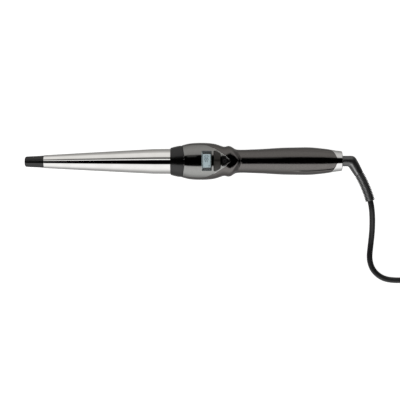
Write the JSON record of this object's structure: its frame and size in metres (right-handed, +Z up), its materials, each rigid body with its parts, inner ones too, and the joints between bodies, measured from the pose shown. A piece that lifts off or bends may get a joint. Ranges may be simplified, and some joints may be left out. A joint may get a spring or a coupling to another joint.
{
  "type": "curling iron",
  "caption": "Conical curling wand with a tapered polished barrel, cool tip, display head, rocker and power keys, waisted handle and swivelling power cord with plug.",
  "frame": {"origin": "on the table below the middle of the wand, without its cord", "axes": "+Z up out of the display, X along the wand from its tip (-X) to its tail (+X), the cord bends towards -Y"},
  "size_m": [0.5185, 0.162, 0.0343],
  "materials": {
    "black_heat_plastic": "moulded, matte",
    "phenolic": "moulded phenolic",
    "ceramic": "fired ceramic",
    "steel": "zinc plated",
    "polished_barrel": "polished titanium coating",
    "aluminium": "extruded",
    "brass": "stamped",
    "amber_film": "polyimide film",
    "red_epoxy": "dipped",
    "lead_sleeve": "silicone sleeve",
    "gunmetal_shell": "metallic lacquer, glossy",
    "silver_panel": "silver metallic lacquer, glossy",
    "window_lens": "clear, glossy",
    "display_grey": "liquid crystal display",
    "white_plastic": "moulded",
    "board_green": "solder mask",
    "component_black": "moulded",
    "key_grey": "moulded, satin",
    "key_black": "moulded, glossy",
    "chrome_cap": "bright chrome",
    "cord_rubber": "moulded, satin",
    "tie_strap": "hook and loop strap",
    "plug_rubber": "moulded, satin",
    "pin_brass": "nickel plated"
  },
  "bodies": {
    "root": {"tip_cap": "black_heat_plastic", "tip_disc": "ceramic", "tip_screw": "steel", "barrel": "polished_barrel", "barrel_clip": "steel", "heat_bush": "phenolic", "heat_spreader_upper": "aluminium", "heat_spreader_lower": "aluminium", "ceramic_tiles": "ceramic", "electrode_sheets": "brass", "insulation_film": "amber_film", "spreader_clamp": "steel", "thermistor": "red_epoxy", "thermal_fuse": "steel", "heater_leads": "lead_sleeve", "front_collar": "black_heat_plastic", "upper_shell": "gunmetal_shell", "lower_shell": "gunmetal_shell", "shell_screws": "steel", "face_panel": "silver_panel", "display_window": "window_lens", "display_glass": "display_grey", "display_carrier": "white_plastic", "circuit_board": "board_green", "board_parts": "component_black", "board_screws": "steel", "key_switches": "steel", "rocker_carrier": "component_black", "rocker_pin": "steel", "mains_leads": "lead_sleeve", "tail_cap": "chrome_cap", "swivel_bush": "white_plastic", "contact_holder": "white_plastic", "contact_springs": "brass", "power_cord": "cord_rubber", "cord_coil": "cord_rubber", "cord_tie": "tie_strap", "cord_tail": "cord_rubber", "plug_body": "plug_rubber", "plug_pins": "pin_brass"},
    "cord_swivel": {"swivel_spindle": "steel", "slip_rings": "brass", "spindle_clip": "steel", "swivel_boot": "cord_rubber"},
    "rocker": {"rocker_key": "key_grey"},
    "power": {"power_button": "key_black"}
  },
  "joints": [
    {"name": "cord_turn", "type": "hinge", "parent": "root", "child": "cord_swivel", "pos_m": [0.165, 0, 0.017], "axis": [-1, 0, 0], "continuous": true},
    {"name": "rocker_tilt", "type": "hinge", "parent": "root", "child": "rocker", "pos_m": [0.0349, 0, 0.0274], "axis": [1, 0, 0], "range_deg": [-2.5, 2.5], "stiffness_Nm_per_rad": 0.1},
    {"name": "power_press", "type": "slide", "parent": "root", "child": "power", "axis": [0, 0, -1], "range_m": [0, 0.0006], "stiffness_N_per_m": 1500}
  ]
}
